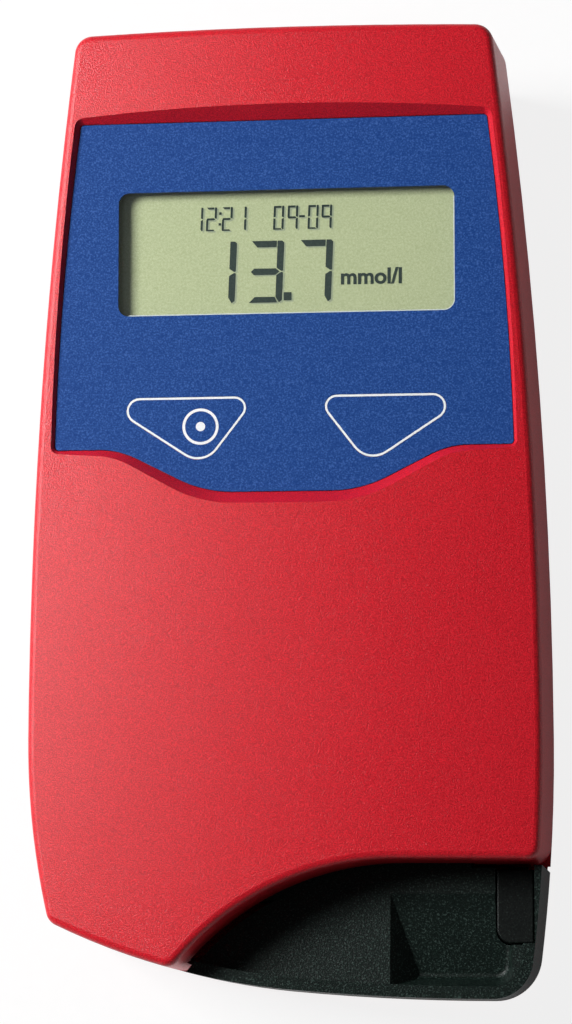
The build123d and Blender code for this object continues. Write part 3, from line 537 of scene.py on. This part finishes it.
# %% Battery cells
BAND_FROM = 47.5
BAND_TO = 47.8
BAND_COLOUR = (0.58, 0.50, 0.36, 1.0)
cell = start_finish(
    "cell_sleeve", dark=(0.045, 0.050, 0.060), light=(0.065, 0.072, 0.085),
    fineness=900.0, bump=0.1, depth=0.03, rough=0.30, spread=0.06, specular=0.5,
)
cell_tree = cell["tree"]
along_cell = add_node(cell_tree, "ShaderNodeSeparateXYZ", feeds={0: cell["place"]}).outputs["Y"]
band = ramp(cell_tree, along_cell, BAND_FROM * MM, BAND_TO * MM)
sleeve = mix_colours(cell_tree, band, cell["shade"], BAND_COLOUR)
cell_tree.links.new(sleeve, cell["shader"].inputs["Base Color"])
dress(cell["finish"], "battery_cells")

# %% Feet and socket
rubber = start_finish(
    "foot_rubber", dark=(0.018, 0.018, 0.018), light=(0.032, 0.032, 0.032),
    fineness=1500.0, bump=0.4, depth=0.08, rough=0.8, spread=0.05, specular=0.25,
)
dress(rubber["finish"], "rubber_feet")
socket = start_finish(
    "socket_black", dark=(0.012, 0.012, 0.013), light=(0.022, 0.022, 0.024),
    fineness=2600.0, bump=0.3, depth=0.06, rough=0.5, spread=0.05, specular=0.45,
)
dress(socket["finish"], "power_socket")

# %% [markdown]
# ## White print on the keys
# Each key carries a thin white line just inside its edge, and the left one a ring with a dot. The
# lines could be curves with a bevel, but a bevel is round and ink is flat. Scaling the outline
# down would make the line thinner at the corners. So the line is the band between two insets of
# the key's own rounded triangle, and its width stays even all the way round.

# %% Rounded triangle of a key
KEY_CORNERS = [(4.4, 16.9), (31.0, 16.9), (13.3, 5.3)]
KEY_ROUNDS = [1.9, 2.16, 4.0]
SMALLEST_ROUND = 0.05


def crossing(p, d, q, e):
    """Where the line from p along d meets the line from q along e."""
    share = ((q - p).x * e.y - (q - p).y * e.x) / (d.x * e.y - d.y * e.x)
    return p + d * share


def rounded_path(corners, rounds, inset, steps=10):
    """Points round a convex outline with rounded corners, moved inward by inset."""
    points = [Vector(c) for c in corners]
    centre = sum(points, Vector((0, 0))) / len(points)
    sides = []
    for index, start in enumerate(points):
        run = (points[(index + 1) % len(points)] - start).normalized()
        inward = Vector((-run.y, run.x))
        if inward.dot(centre - start) < 0:
            inward = -inward
        sides.append((start + inward * inset, run, inward))
    path = []
    for index in range(len(points)):
        p, d, n = sides[index - 1]
        q, e, m = sides[index]
        radius = max(rounds[index] - inset, SMALLEST_ROUND)
        middle = crossing(p + n * radius, d, q + m * radius, e)
        for step in range(steps + 1):
            lean = (-n).slerp(-m, step / steps)
            path.append(middle + lean * radius)
    return path


print("key outline", len(rounded_path(KEY_CORNERS, KEY_ROUNDS, 0.0)), "points")


# %% A thin printed piece
def flat_piece(name, rings, up, body, finish, closed=True):
    """A thin printed piece from rings of face points; two rings make a band, one a patch."""
    mesh = bpy.data.meshes.new(name)
    work = bmesh.new()
    for ring in rings:
        loops = [[work.verts.new(on_face(p[0], p[1], up)) for p in loop] for loop in ring]
        if len(loops) == 1:
            work.faces.new(loops[0])
        else:
            outer, inner = loops
            count = len(outer)
            for index in range(count if closed else count - 1):
                after = (index + 1) % count
                work.faces.new((outer[index], outer[after], inner[after], inner[index]))
    bmesh.ops.recalc_face_normals(work, faces=work.faces)
    for face in work.faces:
        if face.normal.z < 0:
            face.normal_flip()
    work.to_mesh(mesh)
    work.free()
    mesh.materials.append(finish)
    piece = bpy.data.objects.new(name, mesh)
    bpy.context.scene.collection.objects.link(piece)
    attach(piece, body)
    return piece


# %% White ink and the lines on the keys
INK_UP = 0.02
PRINT_X = 0.5
LINE_OUTER = 0.05
LINE_WIDTH = 0.34
ink = start_finish(
    "white_ink", dark=(0.78, 0.80, 0.82), light=(0.88, 0.89, 0.90),
    fineness=3600.0, bump=0.1, depth=0.03, rough=0.45, spread=0.04, specular=0.4,
)["finish"]
for side, body in ((1, "right_key"), (-1, "left_key")):
    rings = []
    for inset in (LINE_OUTER, LINE_OUTER + LINE_WIDTH):
        path = rounded_path(KEY_CORNERS, KEY_ROUNDS, inset)
        rings.append([(side * (p.x + side * PRINT_X), p.y) for p in path])
    line = flat_piece(body + "_line", [rings], INK_UP, body, ink)
print("key lines", LINE_WIDTH, "mm wide")

# %% Ring and dot on the left key
RING_AT = (-13.3, 12.05)
RING_RADIUS = 2.73
RING_LINE = 0.45
DOT_RADIUS = 0.76


def circle(centre, radius, steps=64):
    """Points round a circle on the face."""
    turns = [2 * pi * k / steps for k in range(steps)]
    return [(centre[0] + radius * cos(t), centre[1] + radius * sin(t)) for t in turns]


ring_outer = circle(RING_AT, RING_RADIUS + RING_LINE / 2)
ring_inner = circle(RING_AT, RING_RADIUS - RING_LINE / 2)
key_ring = flat_piece("left_key_ring", [[ring_outer, ring_inner]], INK_UP, "left_key", ink)
key_dot = flat_piece("left_key_dot", [[circle(RING_AT, DOT_RADIUS)]], INK_UP, "left_key", ink)
print("ring", RING_RADIUS, "mm")

# %% [markdown]
# ## Painted highlight on the cut edge of the window
# The pane's cut edge shines along its right and lower sides, where it faces the lamp. A polished
# chamfer would do the same in the solid, but it is thinner than a picture point. A hair-thin pale
# band on the pane is a painted highlight that stands for it, and it runs down the right side,
# round the corner and along.

# %% Painted highlight along the window edge
WINDOW_AT = (0.5, 40.5)
WINDOW_SIZE = (54.8, 20.4)
WINDOW_ROUND = 1.8
HIGHLIGHT_WIDTH = 0.16


def window_edge_highlight(inset, steps=8):
    """Points from the top right corner of the window down and round to its lower left."""
    right = WINDOW_AT[0] + WINDOW_SIZE[0] / 2 - inset
    left = WINDOW_AT[0] - WINDOW_SIZE[0] / 2 + inset
    top = WINDOW_AT[1] + WINDOW_SIZE[1] / 2 - inset
    low = WINDOW_AT[1] - WINDOW_SIZE[1] / 2 + inset
    radius = WINDOW_ROUND - inset
    path = [(right, top - radius)]
    for step in range(steps + 1):
        turn = -pi / 2 * step / steps
        path.append((right - radius + radius * cos(turn), low + radius + radius * sin(turn)))
    path.append((left + radius, low))
    return path


# The pale band paints the highlight of the pane's cut edge.
highlight_finish = start_finish(
    "pane_edge_highlight", dark=(0.52, 0.60, 0.60), light=(0.66, 0.73, 0.72),
    fineness=2600.0, bump=0.1, depth=0.02, rough=0.25, spread=0.04, specular=0.5,
)["finish"]
highlight_band = flat_piece(
    "window_edge_highlight", [[window_edge_highlight(0.0), window_edge_highlight(HIGHLIGHT_WIDTH)]], INK_UP, "housing", highlight_finish,
    closed=False,
)
print("window edge", HIGHLIGHT_WIDTH, "mm wide")

# %% [markdown]
# ## Digits on the display
# The display makes every digit from seven segments, a little slanted. A font of such digits would
# have to be loaded, and its corners couldn't be changed. Here each segment is a small outline
# that is worked out from the digit's width, height and stroke, so large and small digits share
# one drawing. The digits lie on the front of the display glass.

# %% Outlines of the seven segments
SEGMENTS = {"0": "abcdef", "1": "bc", "2": "abged", "3": "abgcd", "7": "abc", "9": "abgfc"}
SLANT = tan(radians(2.3))


def segment_shapes(width, height, stroke, gap):
    """Outlines of the seven segments; shares of the stroke and the gap cut their corners."""
    middle = height / 2
    right_top = [
        (width - stroke, height), (width - 0.3 * stroke, height), (width, height - 0.3 * stroke),
        (width, middle + 1.2 * gap), (width - 0.25 * stroke, middle + 0.6 * gap),
        (width - stroke, middle + 0.55 * stroke),
    ]
    right_low = [
        (width - stroke, middle - 0.55 * stroke), (width - 0.25 * stroke, middle - 0.6 * gap),
        (width, middle - 1.2 * gap), (width, 0.35 * stroke), (width - 0.45 * stroke, 0),
        (width - stroke, 0.9 * stroke),
    ]
    return {
        "a": [
            (0.1 * stroke, height), (width - stroke - gap, height),
            (width - stroke - gap, height - stroke), (0.95 * stroke, height - stroke),
        ],
        "b": right_top,
        "c": right_low,
        "d": [
            (0, 0), (width - 0.7 * stroke, 0), (width - stroke - gap, stroke - gap),
            (0.85 * stroke, stroke - gap),
        ],
        "e": [(width - x, y) for x, y in right_low],
        "f": [(width - x, y) for x, y in right_top],
        "g": [
            (0.1 * stroke, middle), (0.6 * stroke, middle + 0.5 * stroke),
            (width - stroke - gap, middle + 0.5 * stroke), (width - 0.55 * stroke, middle),
            (width - stroke - gap, middle - 0.5 * stroke), (0.6 * stroke, middle - 0.5 * stroke),
        ],
    }


print("segments for", " ".join(SEGMENTS))


# %% Rows of digits, and small blocks
def lit_segments(text, low, lefts, width, height, stroke, gap):
    """Rings for the lit segments of a row of digits; lefts gives each digit's left edge."""
    shapes = segment_shapes(width, height, stroke, gap)
    rings = []
    for sign, left in zip(text, lefts):
        for part in SEGMENTS[sign]:
            rings.append([[(left + x + y * SLANT, low + y) for x, y in shapes[part]]])
    return rings


def block(left, low, width, height):
    """A small rectangle on the display."""
    right, top = left + width, low + height
    return [[(left, low), (right, low), (right, top), (left, top)]]


# %% What the display shows
LARGE = {"width": 5.4, "height": 10.2, "stroke": 1.08, "gap": 0.13}
SMALL = {"width": 1.72, "height": 3.95, "stroke": 0.36, "gap": 0.10}
READING_LOW = 32.5
READING_LEFTS = (-13.5, -5.75, 2.25)
CLOCK_LOW = 44.5
TIME_LEFTS = (-15.1, -12.85, -10.25, -7.95)
DATE_LEFTS = (-1.8, 0.5, 3.85, 6.05)
DECIMAL_POINT = (-0.05, 32.8, 1.3, 1.35)
LOWER_DOT = (-10.75, 45.4, 0.42, 0.42)
UPPER_DOT = (-10.65, 47.2, 0.42, 0.42)
DATE_DASH = (2.5, 46.45, 0.95, 0.36)
figures = lit_segments("137", READING_LOW, READING_LEFTS, **LARGE)
figures += lit_segments("1221", CLOCK_LOW, TIME_LEFTS, **SMALL)
figures += lit_segments("0909", CLOCK_LOW, DATE_LEFTS, **SMALL)
figures += [block(*mark) for mark in (DECIMAL_POINT, LOWER_DOT, UPPER_DOT, DATE_DASH)]
print("lit shapes on the display", len(figures))

# %% [markdown]
# ### The painted shadow under the digits
# A reflective display shows every digit twice: dark where the crystal is, and paler below it, as
# a shadow on the deeper reflecting layer. Real glass layers would need a lamp at just the right
# height. A paler copy, moved a little down and to the right, is a painted shadow that shows the
# same from every side.

# %% Digits and their painted shadow
GLASS_UP = -2.2
DIGIT_UP = GLASS_UP + 0.05
DIGIT_SHADOW_UP = GLASS_UP + 0.02
DIGIT_SHADOW_SHIFT = (0.28, -0.22)
dark_ink = start_finish(
    "segment_dark", dark=(0.016, 0.030, 0.025), light=(0.028, 0.046, 0.038),
    fineness=3000.0, bump=0.05, depth=0.02, rough=0.6, spread=0.04, specular=0.1,
)["finish"]
# The paler copy of the digits paints their shadow on the reflecting layer.
digit_shadow_finish = start_finish(
    "segment_painted_shadow", dark=(0.33, 0.385, 0.255), light=(0.37, 0.43, 0.285),
    fineness=3000.0, bump=0.05, depth=0.02, rough=0.5, spread=0.04, specular=0.2,
)["finish"]
digit_shadow_rings = [
    [[(x + DIGIT_SHADOW_SHIFT[0], y + DIGIT_SHADOW_SHIFT[1]) for x, y in loop] for loop in ring]
    for ring in figures
]
digits = flat_piece("display_digits", figures, DIGIT_UP, "housing", dark_ink)
double = flat_piece("display_digits_painted_shadow", digit_shadow_rings, DIGIT_SHADOW_UP, "housing", digit_shadow_finish)
print("digits have", len(digits.data.polygons), "faces, and so has their double")

# %% [markdown]
# ## The unit beside the reading
# The unit is ordinary lettering, so segments wouldn't suit it and drawing letters by hand takes
# long. A text object draws it in Blender's own letters. It becomes a mesh that is scaled to the
# width it has on the display, so that it rides like the rest.

# %% Unit lettering
UNIT_LEFT = 9.3
UNIT_LOW = 35.3
UNIT_WIDTH = 9.9
LETTER_WEIGHT = 0.028


def lettering(name, words, left, low, width, up, finish):
    """Flat lettering on the display, scaled to a width."""
    curve = bpy.data.curves.new(name + "_curve", "FONT")
    curve.body = words
    curve.offset = LETTER_WEIGHT
    text = bpy.data.objects.new(name + "_text", curve)
    bpy.context.scene.collection.objects.link(text)
    bpy.context.view_layer.update()
    graph = bpy.context.evaluated_depsgraph_get()
    mesh = bpy.data.meshes.new_from_object(text.evaluated_get(graph))
    bpy.data.objects.remove(text)
    low_x = min(v.co.x for v in mesh.vertices)
    high_x = max(v.co.x for v in mesh.vertices)
    scale = width / (high_x - low_x)
    for vertex in mesh.vertices:
        x = (vertex.co.x - low_x) * scale
        y = vertex.co.y * scale
        vertex.co = on_face(left + x, low + y, up)
    mesh.materials.clear()
    mesh.materials.append(finish)
    piece = bpy.data.objects.new(name, mesh)
    bpy.context.scene.collection.objects.link(piece)
    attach(piece, "housing")
    return piece


unit = lettering("display_unit", "mmol/l", UNIT_LEFT, UNIT_LOW, UNIT_WIDTH, DIGIT_UP, dark_ink)
print("unit lettering has", len(unit.data.polygons), "faces")

# %% [markdown]
# ## Camera
# The meter is seen from above, nearly square to its sloping face, a few degrees from the right
# and from below. The camera could be turned by hand until it fits. It is easier to say in the
# face's own axes how far it leans each way, and to build its three axes from that.

# %% Lens
PICTURE_HEIGHT = 1024.0
FOCAL_PIXELS = 3000.0
SENSOR_HEIGHT = 36.0
camera_data = bpy.data.cameras.new("studio_camera")
camera_data.sensor_fit = "VERTICAL"
camera_data.sensor_height = SENSOR_HEIGHT
camera_data.lens = FOCAL_PIXELS / PICTURE_HEIGHT * SENSOR_HEIGHT
camera_data.clip_start = 0.01
print("lens", round(camera_data.lens, 1), "mm")

# %% Where the camera stands
VIEW_TURN = radians(6.8)
VIEW_DROP = radians(6.3)
VIEW_DISTANCE = 481.0
VIEW_AT = (0.6, -2.0)
across_axis = on_face(1, 0) - on_face(0, 0)
along_axis = on_face(0, 1) - on_face(0, 0)
up_axis = on_face(0, 0, 1) - on_face(0, 0)
away = Vector((sin(VIEW_TURN) * cos(VIEW_DROP), -sin(VIEW_DROP), cos(VIEW_TURN) * cos(VIEW_DROP)))
sight = (across_axis * away.x + along_axis * away.y + up_axis * away.z) * VIEW_DISTANCE
look = sight.normalized()
top_edge = (along_axis - look * along_axis.dot(look)).normalized()
side_edge = top_edge.cross(look)
camera = bpy.data.objects.new("studio_camera", camera_data)
bpy.context.scene.collection.objects.link(camera)
camera.location = on_face(*VIEW_AT) + sight
camera.rotation_euler = Matrix((side_edge, top_edge, look)).transposed().to_euler()
bpy.context.scene.camera = camera
print("camera at", tuple(round(c, 3) for c in camera.location))

# %% [markdown]
# ## Table
# The meter lies on a plain white table. More light would make the table white, but it would also
# wash out the red. So most of the table's white is a glow that the camera, clear parts and, more
# weakly, reflections see, and that lights nothing else. The rest is an ordinary surface that
# keeps the shadow. Far from the meter the table is all glow, so that it meets the white backdrop
# without an edge. From below, and for the light of the lamp under it, the table is clear.

# %% Who sees the white glow
WHITE = (1.0, 1.0, 1.0, 1.0)
GLOSS_SHARE = 0.15


def strongest(tree, *sources):
    """The largest of several values of a shader tree."""
    result = sources[0]
    for source in sources[1:]:
        result = work_out(tree, "MAXIMUM", result, source)
    return result


def white_seen(tree, rays, gloss_share):
    """How much of a white glow shows: all to the camera and through clear parts, less in gloss."""
    gloss = work_out(tree, "MULTIPLY", rays["Is Glossy Ray"], gloss_share)
    return strongest(tree, rays["Is Camera Ray"], rays["Is Transmission Ray"], gloss)


print("gloss shows", GLOSS_SHARE, "of the white")

# %% Table top
TABLE_REACH = 2.0
TABLE_CORNERS = [(-1, -1), (1, -1), (1, 1), (-1, 1)]
table_mesh = bpy.data.meshes.new("floor")
table_mesh.from_pydata(
    [(x * TABLE_REACH, y * TABLE_REACH, 0) for x, y in TABLE_CORNERS], [], [(0, 1, 2, 3)]
)
floor = bpy.data.objects.new("floor", table_mesh)
bpy.context.scene.collection.objects.link(floor)
print("table", 2 * TABLE_REACH, "m wide")

# %% White of the table
GLOW_NEAR = 0.85
SHADOW_REACH = 0.25
GLOW_REACH = 1.0
table = start_finish(
    "table_white", dark=(0.84, 0.84, 0.84), light=(0.88, 0.88, 0.88),
    fineness=400.0, bump=0.05, depth=0.1, rough=0.75, spread=0.03, specular=0.2,
)
table_tree = table["tree"]
rays = add_node(table_tree, "ShaderNodeLightPath").outputs
distance = add_node(
    table_tree, "ShaderNodeVectorMath", {"operation": "LENGTH"}, {0: table["place"]}
).outputs["Value"]
glow_share = ramp(table_tree, distance, SHADOW_REACH, GLOW_REACH, GLOW_NEAR, 1.0)
glow_amount = work_out(
    table_tree, "MULTIPLY", white_seen(table_tree, rays, GLOSS_SHARE), glow_share
)
glow = add_node(table_tree, "ShaderNodeEmission", feeds={"Color": WHITE, "Strength": 1.0})
lit_table = mix_shaders(table_tree, glow_amount, table["shader"].outputs[0], glow.outputs[0])
print("glow near the meter", GLOW_NEAR, "and beyond", GLOW_REACH, "m all of the white")

# %% The table is clear from below
below = add_node(table_tree, "ShaderNodeNewGeometry").outputs["Backfacing"]
clear = add_node(table_tree, "ShaderNodeBsdfTransparent").outputs[0]
clear_share = strongest(table_tree, below, rays["Is Shadow Ray"])
table_shader = mix_shaders(table_tree, clear_share, lit_table, clear)
table_tree.links.new(table_shader, table_tree.nodes["Material Output"].inputs["Surface"])
table_mesh.materials.append(table["finish"])
print(table["finish"].name, "on the table")

# %% [markdown]
# ## Lamps and backdrop
# A bright even sky would light the meter from everywhere, and its mould grain would vanish. One
# soft lamp high on the left puts a pale haze on the left of the red face and lets the grain show.
# A weak one far behind lights the display end, and one under the table shows the battery door.
# The backdrop is white for the camera and for clear parts. Shiny parts see its lower part as a
# white wall, under a dim ceiling that keeps the black arm black.

# %% Lamps
LAMP_TARGET = Vector((0.0, 0.0, 0.03))


def soft_lamp(name, place, size, power):
    """A square area lamp that faces the meter."""
    data = bpy.data.lights.new(name, "AREA")
    data.size = size
    data.energy = power
    lamp = bpy.data.objects.new(name, data)
    bpy.context.scene.collection.objects.link(lamp)
    lamp.location = place
    lamp.rotation_euler = (Vector(place) - LAMP_TARGET).to_track_quat("Z", "Y").to_euler()


soft_lamp("left_lamp", place=(-0.47, 0.11, 0.47), size=0.24, power=6.5)
soft_lamp("far_lamp", place=(-0.30, 1.30, 0.75), size=0.6, power=0.6)
soft_lamp("under_lamp", place=(-0.30, -0.20, -0.70), size=0.6, power=4.0)
print("lamps", len(bpy.data.lights))

# %% Backdrop
AIR_COLOUR = (0.92, 0.96, 1.0, 1.0)
AIR_STRENGTH = 0.06
WALL_TOP = 0.35
CEILING_FROM = 0.65
world = bpy.data.worlds.new("studio_air")
bpy.context.scene.world = world
world.use_nodes = True
air = world.node_tree
ceiling = air.nodes["Background"]
ceiling.inputs["Color"].default_value = AIR_COLOUR
ceiling.inputs["Strength"].default_value = AIR_STRENGTH
wall = add_node(air, "ShaderNodeBackground", feeds={"Color": WHITE, "Strength": 1.0})
direction = add_node(air, "ShaderNodeTexCoord").outputs["Generated"]
rise = add_node(air, "ShaderNodeSeparateXYZ", feeds={0: direction}).outputs["Z"]
wall_share = ramp(air, rise, WALL_TOP, CEILING_FROM, GLOSS_SHARE, 0.0)
air_rays = add_node(air, "ShaderNodeLightPath").outputs
air_seen = white_seen(air, air_rays, wall_share)
surroundings = mix_shaders(air, air_seen, ceiling.outputs[0], wall.outputs[0])
air.links.new(surroundings, air.nodes["World Output"].inputs["Surface"])
bpy.context.scene.view_settings.view_transform = "Standard"
print("air light", AIR_STRENGTH)
